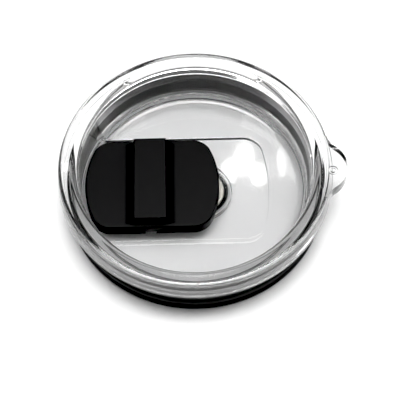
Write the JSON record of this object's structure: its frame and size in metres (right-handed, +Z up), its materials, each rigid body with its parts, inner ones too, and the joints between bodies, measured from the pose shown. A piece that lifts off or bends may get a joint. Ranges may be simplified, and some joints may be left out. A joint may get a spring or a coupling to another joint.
{
  "type": "tumbler lid",
  "caption": "Clear press-in lid for an insulated tumbler, with a thumb tab, a black silicone lip gasket and a black magnetic slider over the drinking opening.",
  "frame": {"origin": "on the lid's axis, in the plane of the flange's underside, which rests on the tumbler's lip", "axes": "+Z up, out of the tumbler; +X towards the thumb tab, with the drinking opening at -X"},
  "size_m": [0.0961, 0.0916, 0.0214],
  "materials": {
    "clear_plastic": "clear injection-moulded copolyester, polished",
    "silicone": "black moulded silicone, soft sheen",
    "carrier_plastic": "black moulded plastic, satin",
    "slider_plastic": "black moulded plastic, fine matte texture",
    "nickel": "nickel plating on magnet blocks"
  },
  "bodies": {
    "lid": {"lid_body": "clear_plastic", "lip_gasket": "silicone", "magnet_carrier": "carrier_plastic", "lid_magnet_closed": "nickel", "lid_magnet_open": "nickel"},
    "slider": {"slider_shell": "slider_plastic", "slider_base": "slider_plastic", "slider_magnet_front": "nickel", "slider_magnet_rear": "nickel"}
  },
  "joints": [
    {"name": "slider_slide", "type": "slide", "parent": "lid", "child": "slider", "axis": [1, 0, 0], "range_m": [0, 0.016]}
  ]
}
